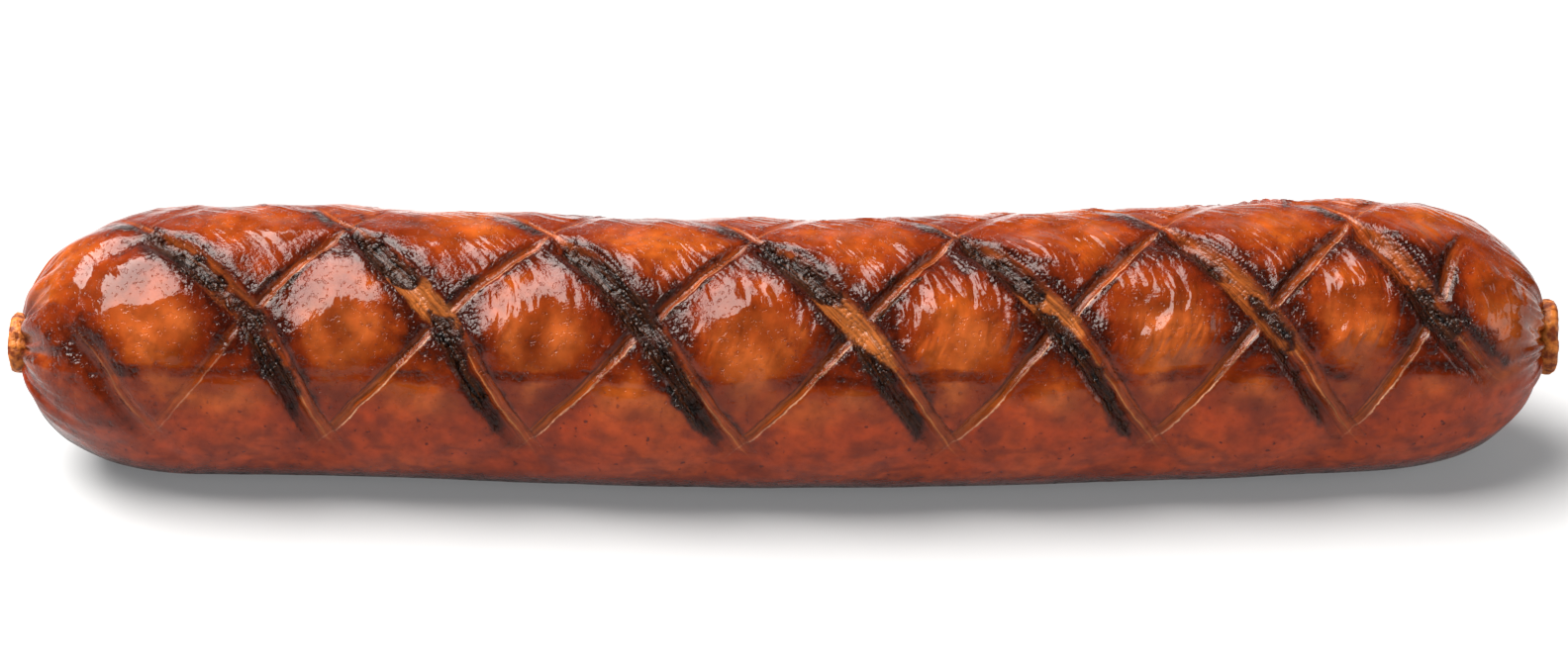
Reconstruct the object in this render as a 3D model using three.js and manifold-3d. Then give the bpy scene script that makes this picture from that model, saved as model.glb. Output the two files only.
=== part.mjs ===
// A grilled sausage: one plump link in its casing, tied off in a small nub at each end,
// scored with two crossing families of knife cuts and lying on its side.
// Units are millimetres. X runs along the sausage, Z is up and Z = 0 is the surface that it
// lies on. The origin is under the middle of its bounding box.
import * as THREE from "three";
import { mergeVertices } from "three/addons/utils/BufferGeometryUtils.js";
import Module from "manifold-3d";

// Body.
const HALF_LENGTH = 82.2; // from the middle to the tip of either dome
const BODY_RADIUS = 14.6;
const AXIS_HEIGHT = 14.3; // less than the radius, so the underside is pressed flat
const DOME_LENGTH = 20.5;
const DOME_POWER = 2.4; // above 2 the dome is blunter than an ellipse
const SWELLS = [
  { at: 50, reach: 28, height: 0.35 },
  { at: -55, reach: 20, height: 0.15 },
];

// The sausage bends in the horizontal plane: its ends lie further back than its middle.
const LEFT_BEND = { back: 3.0, over: 62 };
const RIGHT_BEND = { back: 4.5, over: 84 };
const END_DROOP = 0.45;
const DROOP_REACH = 22;

// Casing gathered at each end: pleats on the dome, a puckered throat and a cut nub.
const PLEATS = 11;
const PLEAT_HEIGHT = 0.3;
const PLEAT_INNER = 3.5;
const PLEAT_OUTER = 11;
const THROAT = { radius: 2.7, depth: 0.7 };
const NUB_SECTIONS = [
  { out: 1, radius: 0.5 },
  { out: 0.93, radius: 0.9 },
  { out: 0.55, radius: 1 },
  { out: -0.1, radius: 0.97 },
]; // shares of a nub's length and radius, from its end face inwards
const NUBS = [
  { side: -1, radius: 3.3, length: 1.7, lobe: 0.1, turn: 0.6 },
  { side: 1, radius: 3.8, length: 1.9, lobe: 0.14, turn: 2.1 },
];

// Knife cuts. Each row lists where the two families cross, along X, at one angle round
// the body: 0 faces the front, 90 is the top and 180 the back.
const CUT_PITCH = 21.5;
const LOW_CROSSINGS = [-68.0, -49.2, -28.0, -5.2, 17.0, 38.5, 59.7, 80.0];
const MIDDLE_CROSSINGS = [-76.8, -56.6, -36.3, -14.6, 7.9, 29.4, 50.8, 69.0];
const TOP_CROSSINGS = [-68.2, -46.4, -24.8, -3.2, 18.5, 40.4, 60.8, 74.2];
const ROW_ANGLES = { low: -15, middle: 41, top: 88, backMiddle: 135, backLow: 191 };
const CUT_SIDES = [
  { from: -25, to: 113 },
  { from: 117, to: 201 },
]; // degrees: the link is scored in front, turned over and scored again behind
const CUT_REACH = 77; // a cut stops this far from the middle, short of the nubs
const SHORTEST_CUT = 12;
const FIRST_NARROW_FROM = 78; // the left dome's front is whole
const CUT_FADE = 24; // degrees over which a cut runs out at its ends
const BROAD_CUT = { rim: 3.0, floor: 1.1, depth: 1.3 };
const NARROW_CUT = { rim: 1.5, floor: 0.35, depth: 0.95 };
const CUT_HEAD = 1.0; // how far the knife's wedge stands out of the skin
const CUT_TIP = { depth: -0.25, width: 0.45 }; // shares left where a cut has run out
const OVER_TOP = { from: 86, to: 142, edge: 9, thinner: 0.6 }; // cuts are thin lines there
const CUT_STEP = 9;

// Pads between the cuts swell, so the skin falls away towards each cut.
const PAD_DROP = 0.55;
const PAD_REACH = 6.4;
const PAD_DOME = { none: 4, full: 12 }; // pads flatten where a dome is narrower than this

// Mesh density.
const RINGS_PER_PITCH = 6;
const DOME_RINGS = 8;
const SCORED_POINTS = 26;
const UNDERSIDE_POINTS = 10;
const SCORED_ARC = { from: -20, to: 196 };
const MERGE_WITHIN = 1e-4;

const { clamp, degToRad: degrees, smoothstep: smooth } = THREE.MathUtils;

// How far back the middle line lies at x: half a cosine wave on each side.
function bend(x) {
  const { back, over } = x < 0 ? LEFT_BEND : RIGHT_BEND;
  const share = Math.min(Math.abs(x) / over, 1);
  return (back * (1 - Math.cos(Math.PI * share))) / 2;
}

function axisHeight(x) {
  const outer = HALF_LENGTH - DROOP_REACH;
  return AXIS_HEIGHT - END_DROOP * smooth(Math.abs(x), outer, HALF_LENGTH);
}

// The plain body's radius: a cylinder with slight swells and a blunt dome at each end.
function bodyRadius(x) {
  let radius = BODY_RADIUS;
  for (const { at, reach, height } of SWELLS) {
    radius += height * Math.exp(-(((x - at) / reach) ** 2));
  }
  const inDome = clamp(1 - (HALF_LENGTH - Math.abs(x)) / DOME_LENGTH, 0, 1);
  return radius * (1 - inDome ** DOME_POWER) ** (1 / DOME_POWER);
}

// The direction away from the middle line at an angle.
function outward(angle) {
  return new THREE.Vector3(0, -Math.cos(degrees(angle)), Math.sin(degrees(angle)));
}

// A point at an angle round the middle line, on or above the resting surface.
function around(x, angle, radius) {
  const point = new THREE.Vector3(x, bend(x), axisHeight(x));
  point.addScaledVector(outward(angle), radius);
  point.z = Math.max(point.z, 0);
  return point;
}

// A row's crossing k. Outside the list the pitch carries on.
function crossing(row, k) {
  const last = row.length - 1;
  if (k < 0) return row[0] + k * CUT_PITCH;
  return k > last ? row[last] + (k - last) * CUT_PITCH : row[k];
}

// Where a cut lies along X at an angle: straight runs between the crossings it passes.
function cutAlong(cut, angle) {
  const { knots } = cut;
  let k = 0;
  while (k < knots.length - 2 && angle > knots[k + 1].angle) k += 1;
  const [a, b] = [knots[k], knots[k + 1]];
  return a.along + ((b.along - a.along) * (angle - a.angle)) / (b.angle - a.angle);
}

// Broad cuts lean to the left as they climb over the top, narrow ones to the right.
function makeCuts() {
  const rows = [
    { angle: ROW_ANGLES.low, row: LOW_CROSSINGS, broad: 0, narrow: -1 },
    { angle: ROW_ANGLES.middle, row: MIDDLE_CROSSINGS, broad: 0, narrow: 0 },
    { angle: ROW_ANGLES.top, row: TOP_CROSSINGS, broad: -1, narrow: 0 },
    { angle: ROW_ANGLES.backMiddle, row: MIDDLE_CROSSINGS, broad: -1, narrow: 1 },
    { angle: ROW_ANGLES.backLow, row: LOW_CROSSINGS, broad: -2, narrow: 1 },
  ];
  const last = MIDDLE_CROSSINGS.length - 1;
  const cuts = [];
  for (let i = 0; i <= last; i += 1) {
    for (const [family, shape] of [["broad", BROAD_CUT], ["narrow", NARROW_CUT]]) {
      const knots = rows.map((r) => ({
        angle: r.angle,
        along: crossing(r.row, i + r[family]),
      }));
      for (const side of CUT_SIDES) {
        let { from, to } = side;
        if (family === "narrow" && i === 0) from = Math.max(from, FIRST_NARROW_FROM);
        while (from < to && Math.abs(cutAlong({ knots }, from)) > CUT_REACH) from += 1;
        while (from < to && Math.abs(cutAlong({ knots }, to)) > CUT_REACH) to -= 1;
        if (to - from >= SHORTEST_CUT) cuts.push({ knots, from, to, shape });
      }
    }
  }
  return cuts;
}

// Distance from a point of the skin to a cut's middle line, measured square to the cut.
function cutDistance(cut, x, angle, radius) {
  const reach = Math.max(cut.from - angle, angle - cut.to, 0);
  const ahead = cutAlong(cut, angle + 1);
  const slope = (ahead - cutAlong(cut, angle - 1)) / (2 * degrees(1) * Math.max(radius, 1));
  const square = (x - cutAlong(cut, angle)) / Math.hypot(1, slope);
  return Math.hypot(square, degrees(reach) * radius);
}

// How far the cuts are drawn in to thin lines, from 0 to 1, where they run over the top.
function overTop(angle) {
  const { from, to, edge } = OVER_TOP;
  return smooth(angle, from - edge, from) * (1 - smooth(angle, to, to + edge));
}

// The skin's radius: the body, let down towards the cuts and pleated near its ends.
function skinRadius(x, angle, cuts) {
  const radius = bodyRadius(x);
  let nearest = Infinity;
  for (const cut of cuts) {
    nearest = Math.min(nearest, cutDistance(cut, x, angle, radius));
  }
  const drop = PAD_DROP * smooth(radius, PAD_DOME.none, PAD_DOME.full);
  const pad = drop * (1 - OVER_TOP.thinner * overTop(angle)) * (1 - smooth(nearest, 0, PAD_REACH));
  const gathered = smooth(radius, PLEAT_INNER - 1, PLEAT_INNER + 1);
  const pleated = gathered * (1 - smooth(radius, PLEAT_INNER + 1, PLEAT_OUTER));
  const pleat = PLEAT_HEIGHT * pleated * Math.cos(PLEATS * degrees(angle) + x / 2);
  return radius - pad + pleat;
}

// Joins rings of equal length into one closed body, with a fan from each end's centre.
function loft(rings) {
  const count = rings[0].length;
  const centre = (ring) =>
    ring.reduce((sum, p) => sum.add(p), new THREE.Vector3()).divideScalar(count);
  const points = [...rings.flat(), centre(rings[0]), centre(rings[rings.length - 1])];
  const firstCentre = points.length - 2;
  const lastCentre = points.length - 1;
  const lastRing = (rings.length - 1) * count;
  const index = [];
  for (let k = 0; k < count; k += 1) {
    const next = (k + 1) % count;
    index.push(firstCentre, k, next);
    index.push(lastCentre, lastRing + next, lastRing + k);
    for (let r = 0; r < rings.length - 1; r += 1) {
      const here = r * count;
      const there = here + count;
      index.push(here + k, there + next, here + next);
      index.push(here + k, there + k, there + next);
    }
  }
  const geometry = new THREE.BufferGeometry().setFromPoints(points);
  geometry.setIndex(index);
  return geometry;
}

// Angles round a ring, closer together where the skin is scored.
function ringAngles() {
  const { from, to } = SCORED_ARC;
  const angles = [];
  for (let k = 0; k < SCORED_POINTS; k += 1) {
    angles.push(from + ((to - from) * k) / SCORED_POINTS);
  }
  for (let k = 0; k < UNDERSIDE_POINTS; k += 1) {
    angles.push(to + ((from + 360 - to) * k) / UNDERSIDE_POINTS);
  }
  return angles;
}

// A nub's rings from its end face to its throat. Two waves make its outline uneven.
function nubRings({ side, radius, length, lobe, turn }, angles) {
  const sections = NUB_SECTIONS.map((section) => ({
    out: section.out * length,
    radius: section.radius * radius,
  }));
  sections.push({ out: -THROAT.depth, radius: THROAT.radius });
  return sections.map((section) =>
    angles.map((angle) => {
      const wave = Math.cos(2 * degrees(angle) + turn) + Math.cos(5 * degrees(angle)) / 2;
      const x = side * (HALF_LENGTH + section.out);
      return around(x, angle, section.radius * (1 + (lobe * wave) / 2));
    }),
  );
}

function skinRings(cuts, angles) {
  const ring = (x) => angles.map((angle) => around(x, angle, skinRadius(x, angle, cuts)));
  const straight = HALF_LENGTH - DOME_LENGTH;
  const steps = Math.round((2 * straight * RINGS_PER_PITCH) / CUT_PITCH);
  const left = [];
  const right = [];
  for (let k = 1; k <= DOME_RINGS; k += 1) {
    // Even steps of the angle keep the rings close together where the dome curves most.
    const turn = (Math.PI / 2) * (k / (DOME_RINGS + 1));
    const out = DOME_LENGTH * Math.cos(turn) ** (2 / DOME_POWER);
    left.push(ring(-straight - out));
    right.unshift(ring(straight + out));
  }
  const middle = [];
  for (let k = 0; k <= steps; k += 1) {
    middle.push(ring(-straight + (2 * straight * k) / steps));
  }
  return [...left, ...middle, ...right];
}

function sausageBody(cuts) {
  const angles = ringAngles();
  const [leftNub, rightNub] = NUBS.map((nub) => nubRings(nub, angles));
  return loft([...leftNub, ...skinRings(cuts, angles), ...rightNub.reverse()]);
}

// The knife's wedge, swept along a cut: a floor under the skin and sloping sides above it.
function cutTool(cut) {
  const { from, to, shape } = cut;
  const steps = Math.ceil((to - from) / CUT_STEP);
  const path = [];
  for (let k = 0; k <= steps; k += 1) {
    const angle = from + ((to - from) * k) / steps;
    const x = cutAlong(cut, angle);
    const drop = PAD_DROP * (1 - OVER_TOP.thinner * overTop(angle));
    path.push({ angle, skin: around(x, angle, bodyRadius(x) - drop) });
  }
  return loft(
    path.map(({ angle, skin }, k) => {
      const before = path[Math.max(k - 1, 0)].skin;
      const after = path[Math.min(k + 1, steps)].skin;
      const forward = after.clone().sub(before).normalize();
      const up = outward(angle);
      up.addScaledVector(forward, -up.dot(forward)).normalize();
      const across = new THREE.Vector3().crossVectors(forward, up);
      const share = smooth(Math.min(angle - from, to - angle), 0, CUT_FADE);
      const full = 1 - OVER_TOP.thinner * overTop(angle);
      const depth = shape.depth * (CUT_TIP.depth + (full - CUT_TIP.depth) * share);
      const rim = shape.rim * full * (CUT_TIP.width + (1 - CUT_TIP.width) * share);
      const mouth = shape.floor + (rim - shape.floor) * (1 + CUT_HEAD / shape.depth);
      const corner = (width, height) =>
        skin.clone().addScaledVector(across, width / 2).addScaledVector(up, height);
      return [
        corner(shape.floor, -depth),
        corner(mouth, CUT_HEAD),
        corner(-mouth, CUT_HEAD),
        corner(-shape.floor, -depth),
      ];
    }),
  );
}

const wasm = await Module();
wasm.setup();

function toSolid(geometry) {
  const merged = mergeVertices(geometry, MERGE_WITHIN);
  return new wasm.Manifold(
    new wasm.Mesh({
      numProp: 3,
      vertProperties: new Float32Array(merged.attributes.position.array),
      triVerts: new Uint32Array(merged.index.array),
    }),
  );
}

function toGeometry(solid) {
  const { vertProperties, triVerts } = solid.getMesh();
  const geometry = new THREE.BufferGeometry();
  geometry.setAttribute("position", new THREE.BufferAttribute(vertProperties, 3));
  geometry.setIndex(new THREE.BufferAttribute(triVerts, 1));
  const faceted = geometry.toNonIndexed();
  faceted.computeVertexNormals();
  return faceted;
}

function sausage() {
  const cuts = makeCuts();
  let solid = toSolid(sausageBody(cuts));
  for (const cut of cuts) solid = solid.subtract(toSolid(cutTool(cut)));
  const mesh = new THREE.Mesh(
    toGeometry(solid),
    new THREE.MeshStandardMaterial({ color: "#a34a1c", roughness: 0.28, metalness: 0 }),
  );
  mesh.name = "sausage";
  const middle = new THREE.Box3().setFromObject(mesh).getCenter(new THREE.Vector3());
  mesh.position.set(-middle.x, -middle.y, 0);
  return mesh;
}

const part = new THREE.Group();
part.add(sausage());

export default part;
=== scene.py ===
"""The looks of a grilled sausage: its scored casing, its charred cuts and the stubs at its ends.

Sizes are in millimetres until a mesh is written in metres. Angles run round the middle line:
0 degrees faces the front, 90 is the top and 180 the back.
"""

import logging
import math
from dataclasses import dataclass, field, replace
from enum import Enum
from typing import Any

import bpy
import numpy as np
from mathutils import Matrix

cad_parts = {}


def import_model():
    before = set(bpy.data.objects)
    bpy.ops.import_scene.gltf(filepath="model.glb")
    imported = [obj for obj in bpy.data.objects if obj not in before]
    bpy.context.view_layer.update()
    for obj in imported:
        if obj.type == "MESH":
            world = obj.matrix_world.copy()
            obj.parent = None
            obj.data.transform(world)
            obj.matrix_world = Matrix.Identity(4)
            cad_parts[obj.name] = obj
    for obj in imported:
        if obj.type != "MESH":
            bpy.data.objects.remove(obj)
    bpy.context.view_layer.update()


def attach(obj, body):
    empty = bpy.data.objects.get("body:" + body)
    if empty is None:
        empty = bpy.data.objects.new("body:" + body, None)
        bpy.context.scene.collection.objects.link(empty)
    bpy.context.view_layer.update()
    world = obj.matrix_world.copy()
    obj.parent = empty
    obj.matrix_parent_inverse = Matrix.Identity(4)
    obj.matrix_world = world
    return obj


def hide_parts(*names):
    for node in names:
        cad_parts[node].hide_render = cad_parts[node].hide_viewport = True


Array = np.ndarray
Socket = bpy.types.NodeSocket
Pair = tuple[float, float]
Triple = tuple[float, float, float]
# A band runs from its first value to its second, and fades over its third on either side.
Band = Triple
# A colour ramp's places, from 0 to 1, and hex colours.
Stops = tuple[tuple[float, str], ...]

MM = 0.001
NODE = "sausage"
BODY = "root"

# A Mix node for colours numbers its sockets like this.
FACTOR, BELOW, ABOVE, MIXED = 0, 6, 7, 2

log = logging.getLogger("sausage")


def linear(hex_code: str) -> tuple[float, float, float, float]:
    """Turns an sRGB hex colour into linear red, green, blue and alpha.

    Args:
        hex_code: Six hex digits after a hash sign.

    Returns:
        The four linear values, with alpha 1.
    """
    parts = [int(hex_code[k : k + 2], 16) / 255 for k in (1, 3, 5)]
    red, green, blue = (
        c / 12.92 if c <= 0.04045 else ((c + 0.055) / 1.055) ** 2.4 for c in parts
    )
    return red, green, blue, 1.0


def smooth(value: Array | float, low: float, high: float) -> Array:
    """Rises from 0 at low to 1 at high along the curve 3t squared less 2t cubed.

    Args:
        value: The number or array to read.
        low: Where the rise starts.
        high: Where it ends.

    Returns:
        The share reached, from 0 to 1.
    """
    t = np.clip((np.asarray(value, float) - low) / (high - low), 0, 1)
    return t * t * (3 - 2 * t)


def window(value: Array, low: float, high: float, edge: float) -> Array:
    """Is 1 from low to high, and falls to 0 over the edge's width on either side."""
    return smooth(value, low - edge, low) * (1 - smooth(value, high, high + edge))


def bump(value: Array, middle: float, reach: float) -> Array:
    """A Gaussian hump: e to the power of minus the squared distance over reach."""
    return np.exp(-(((value - middle) / reach) ** 2))


class Noise:
    """Seeded gradient noise in space, as smooth as Perlin's."""

    cells = 256
    gain = 1.7
    layer_shift = 31.7
    layer_total = 1.5

    def __init__(self, seed: int) -> None:
        """Draws the table of directions.

        Args:
            seed: The same seed always gives the same noise.
        """
        draw = np.random.default_rng(seed)
        self.order = np.tile(draw.permutation(self.cells), 3)
        ways = draw.normal(size=(self.cells, 3))
        self.ways = ways / np.linalg.norm(ways, axis=1, keepdims=True)

    def at(self, points: Array, wavelength: float | Triple) -> Array:
        """Blends, over the eight corners of a point's cell, each corner's slope at the point.

        Args:
            points: Places in millimetres, as rows.
            wavelength: Size of a cell in millimetres, one number or one for each axis.

        Returns:
            One value for each point, about -1 to 1.
        """
        scaled = points / np.asarray(wavelength, float)
        cell = np.floor(scaled).astype(int)
        part = scaled - cell
        ease = part**3 * (part * (part * 6 - 15) + 10)
        total = np.zeros(len(points))
        for corner in np.ndindex(2, 2, 2):
            offset = np.array(corner)
            index = (cell + offset) % self.cells
            key = self.order[self.order[self.order[index[:, 0]] + index[:, 1]] + index[:, 2]]
            slope = np.einsum("ij,ij->i", self.ways[key], part - offset)
            share = np.prod(np.where(offset, ease, 1 - ease), axis=1)
            total += share * slope
        return total * self.gain

    def mixed(self, points: Array, parts: tuple[Pair, ...]) -> Array:
        """Adds noise of several heights and wavelengths, both in millimetres."""
        return sum(height * self.at(points, wavelength) for height, wavelength in parts)

    def layered(self, points: Array, wavelength: float, layers: int) -> Array:
        """Adds layers of noise, each half as long and half as strong as the last.

        Args:
            points: Places in millimetres, as rows.
            wavelength: Cell size of the first layer.
            layers: How many layers there are.

        Returns:
            One value for each point, about -1 to 1.
        """
        total = np.zeros(len(points))
        for k in range(layers):
            total += self.at(points + self.layer_shift * k, wavelength / 2**k) / 2**k
        return total / self.layer_total


@dataclass(frozen=True)
class Swell:
    """A place where the body is a little thicker."""

    at: float
    reach: float
    height: float


@dataclass(frozen=True)
class Body:
    """The plain body: a bent cylinder with a blunt dome at each end, pressed flat below."""

    half_length: float = 82.2
    radius: float = 14.6
    axis_height: float = 14.3
    dome_length: float = 20.5
    dome_power: float = 2.4
    swells: tuple[Swell, ...] = (Swell(50, 28, 0.35), Swell(-55, 20, 0.15))
    left_back: float = 3.0
    left_over: float = 62.0
    right_back: float = 4.5
    right_over: float = 84.0
    end_droop: float = 0.45
    droop_reach: float = 22.0
    origin_along: float = 0.1
    origin_back: float = 2.083

    def bend(self, x: Array) -> Array:
        """How far back the middle line lies: half a cosine wave on each side of x = 0.

        Args:
            x: Places along the sausage.

        Returns:
            One distance for each place.
        """
        back = np.where(x < 0, self.left_back, self.right_back)
        over = np.where(x < 0, self.left_over, self.right_over)
        share = np.minimum(np.abs(x) / over, 1)
        return back * (1 - np.cos(np.pi * share)) / 2

    def axis(self, x: Array) -> Array:
        """Height of the middle line, which droops a little over the domes."""
        outer = self.half_length - self.droop_reach
        return self.axis_height - self.end_droop * smooth(np.abs(x), outer, self.half_length)

    def plain_radius(self, x: Array) -> Array:
        """The radius: constant with slight swells, then a superellipse over each dome.

        Args:
            x: Places along the sausage.

        Returns:
            One radius for each place.
        """
        radius = self.radius + sum(s.height * bump(x, s.at, s.reach) for s in self.swells)
        share = 1 - (self.half_length - np.abs(x)) / self.dome_length
        inside = np.clip(share, 0, 1)
        return radius * (1 - inside**self.dome_power) ** (1 / self.dome_power)

    def place(self, x: Array, angle: Array, radius: Array) -> Array:
        """Points at an angle and radius round the middle line, in the part's own frame.

        Args:
            x: Place along the sausage.
            angle: Angle round it in degrees.
            radius: Distance from the middle line.

        Returns:
            Rows of x, y and z in millimetres.
        """
        turn = np.radians(angle)
        y = self.bend(x) - radius * np.cos(turn)
        z = self.axis(x) + radius * np.sin(turn)
        return np.stack([x - self.origin_along, y - self.origin_back, z], axis=-1)


class Family(Enum):
    """The two families of knife cuts, by how they lean as they climb over the top."""

    BROAD = "leaning left"
    NARROW = "leaning right"


@dataclass(frozen=True)
class Row:
    """One row of crossings at one angle, and which crossing a cut of each family passes."""

    angle: float
    crossings: tuple[float, ...]
    broad: int
    narrow: int

    def crossing(self, k: int, pitch: float) -> float:
        """Place of crossing k along the row. Outside the list the pitch carries on."""
        inside = min(max(k, 0), len(self.crossings) - 1)
        return self.crossings[inside] + (k - inside) * pitch


LOW = (-68.0, -49.2, -28.0, -5.2, 17.0, 38.5, 59.7, 80.0)
MIDDLE = (-76.8, -56.6, -36.3, -14.6, 7.9, 29.4, 50.8, 69.0)
TOP = (-68.2, -46.4, -24.8, -3.2, 18.5, 40.4, 60.8, 74.2)


@dataclass(frozen=True)
class Cut:
    """One cut: a smooth line through the crossings that it passes, between two angles."""

    number: int
    angles: tuple[float, ...]
    places: tuple[float, ...]
    start: float
    end: float

    def along(self, angle: Array) -> Array:
        """Place of the cut along X: a cubic Hermite curve with straight ends.

        Args:
            angle: Angles in degrees.

        Returns:
            One place for each angle.
        """
        a = np.array(self.angles)
        p = np.array(self.places)
        slope = np.gradient(p, a)
        k = np.clip(np.searchsorted(a, angle) - 1, 0, len(a) - 2)
        span = a[k + 1] - a[k]
        t = np.clip((angle - a[k]) / span, 0, 1)
        inner = (
            p[k] * (1 + 2 * t) * (1 - t) ** 2
            + slope[k] * span * t * (1 - t) ** 2
            + p[k + 1] * t**2 * (3 - 2 * t)
            + slope[k + 1] * span * t**2 * (t - 1)
        )
        below = np.minimum(angle - a[0], 0) * slope[0]
        above = np.maximum(angle - a[-1], 0) * slope[-1]
        return inner + below + above


@dataclass(frozen=True)
class Scoring:
    """Both families of cuts, laid through five rows of crossings."""

    pitch: float = 21.5
    rows: tuple[Row, ...] = (
        Row(-15, LOW, 0, -1),
        Row(41, MIDDLE, 0, 0),
        Row(88, TOP, -1, 0),
        Row(135, MIDDLE, -1, 1),
        Row(191, LOW, -2, 1),
    )
    sides: tuple[Pair, ...] = ((-25.0, 113.0), (117.0, 201.0))
    reach: float = 77.0
    shortest: float = 12.0
    first_narrow_from: float = 78.0
    fade: float = 24.0
    span_length: float = 26.0

    def cuts(self, family: Family) -> list[Cut]:
        """Lays out one family.

        Args:
            family: Which of the two.

        Returns:
            Its cuts on the front and on the back, each ended short of the nubs.
        """
        broad = family is Family.BROAD
        angles = tuple(row.angle for row in self.rows)
        made = []
        for i in range(len(MIDDLE)):
            places = tuple(
                row.crossing(i + (row.broad if broad else row.narrow), self.pitch)
                for row in self.rows
            )
            for start, end in self.sides:
                if not broad and i == 0:
                    start = max(start, self.first_narrow_from)
                cut = Cut(i, angles, places, start, end)
                degrees = np.arange(start, end + 1)
                kept = degrees[np.abs(cut.along(degrees)) <= self.reach]
                if len(kept) > self.shortest:
                    made.append(replace(cut, start=kept[0], end=kept[-1]))
        return made


@dataclass(frozen=True)
class Stretch:
    """A stretch of a broad cut that is charred, or bare and golden.

    It runs from start to end, in shares of the way from the top row of crossings (0) to the
    low row (1), and covers the cut from left to right of its middle line in millimetres. It is
    widest towards the middle row and thins out away from it.
    """

    cut: int
    start: float
    end: float
    left: float
    right: float
    strength: float = 1.0


FRONT_BURNS = (
    Stretch(0, 0.50, 0.66, 1.3, 1.7, 0.4),
    Stretch(1, 0.03, 0.32, -1.5, 0.6),
    Stretch(1, 0.28, 0.48, -0.9, 0.5, 0.7),
    Stretch(1, 0.42, 0.56, -1.0, 1.2, 0.75),
    Stretch(1, 0.54, 0.92, -1.7, 0.1, 0.9),
    Stretch(1, 0.60, 0.92, 1.5, 2.0, 0.55),
    Stretch(2, 0.04, 0.28, -1.4, 1.1),
    Stretch(2, 0.45, 0.57, -0.9, 1.1, 0.85),
    Stretch(2, 0.53, 0.98, -1.6, -0.6),
    Stretch(2, 0.62, 0.86, 1.5, 2.0, 0.5),
    Stretch(3, 0.08, 0.44, -1.2, 1.4),
    Stretch(3, 0.40, 0.62, -1.6, 0.8),
    Stretch(3, 0.56, 1.0, -1.8, 0.0),
    Stretch(3, 0.66, 0.95, 1.5, 2.1, 0.5),
    Stretch(4, 0.04, 0.31, -1.3, 1.1),
    Stretch(4, 0.40, 0.52, -2.6, -1.7, 0.7),
    Stretch(4, 0.57, 0.98, -1.8, -0.5),
    Stretch(4, 0.66, 0.92, 1.5, 2.0, 0.35),
    Stretch(5, 0.04, 0.33, -1.3, 1.0),
    Stretch(5, 0.40, 0.94, -1.5, -0.1),
    Stretch(5, 0.85, 1.02, -1.7, -1.2, 0.8),
    Stretch(6, 0.04, 0.27, -1.4, 0.0, 0.8),
    Stretch(6, 0.42, 0.56, -0.4, 1.2, 0.8),
    Stretch(6, 0.57, 1.0, -1.8, -1.1, 0.8),
    Stretch(7, 0.38, 0.53, -2.0, 1.0, 0.95),
    Stretch(7, 0.48, 0.78, -1.1, -0.6, 0.8),
    Stretch(7, 0.36, 0.70, 1.9, 2.2, 0.75),
)
BARE = (
    Stretch(1, 0.27, 0.40, -1.5, -0.2, 0.55),
    Stretch(2, 0.27, 0.43, -1.5, 1.5, 0.95),
    Stretch(4, 0.29, 0.58, -1.5, 1.2, 0.9),
    Stretch(5, 0.32, 0.44, -1.5, 1.4, 0.8),
    Stretch(6, 0.22, 0.56, -1.5, 1.4, 0.6),
    Stretch(7, 0.05, 0.38, -1.5, 1.5, 0.35),
    Stretch(0, 0.40, 1.0, -0.6, 1.5, 0.3),
)
# The back can't be seen in the photograph. Its burns follow one rule from cut to cut.
BACK_BURNS = tuple(Stretch(k, -0.07, -0.05, -1.7, -0.7, 0.7) for k in range(1, 8)) + tuple(
    Stretch(k, -0.95, -0.45 - 0.04 * (k % 3), -1.2, 1.1, 0.8 + 0.1 * (k % 2)) for k in range(1, 8)
)


@dataclass(frozen=True)
class Nub:
    """The gathered and cut stub of casing at one end."""

    side: int
    radius: float
    length: float
    lobe: float
    turn: float


@dataclass
class Grid:
    """A flattened grid of points on the plain surface."""

    shape: tuple[int, int]
    x: Array
    angle: Array
    radius: Array
    on_nub: Array

    def normals(self, points: Array) -> Array:
        """Unit normals: the cross product of the grid's two directions at each point.

        Args:
            points: Rows of x, y and z, one for each grid point.

        Returns:
            Rows of unit vectors pointing outwards.
        """
        net = points.reshape(*self.shape, 3)
        along = np.gradient(net, axis=0)
        around = np.roll(net, -1, axis=1) - np.roll(net, 1, axis=1)
        normal = np.cross(along, around).reshape(-1, 3)
        return normal / np.maximum(np.linalg.norm(normal, axis=1, keepdims=True), 1e-9)


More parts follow.
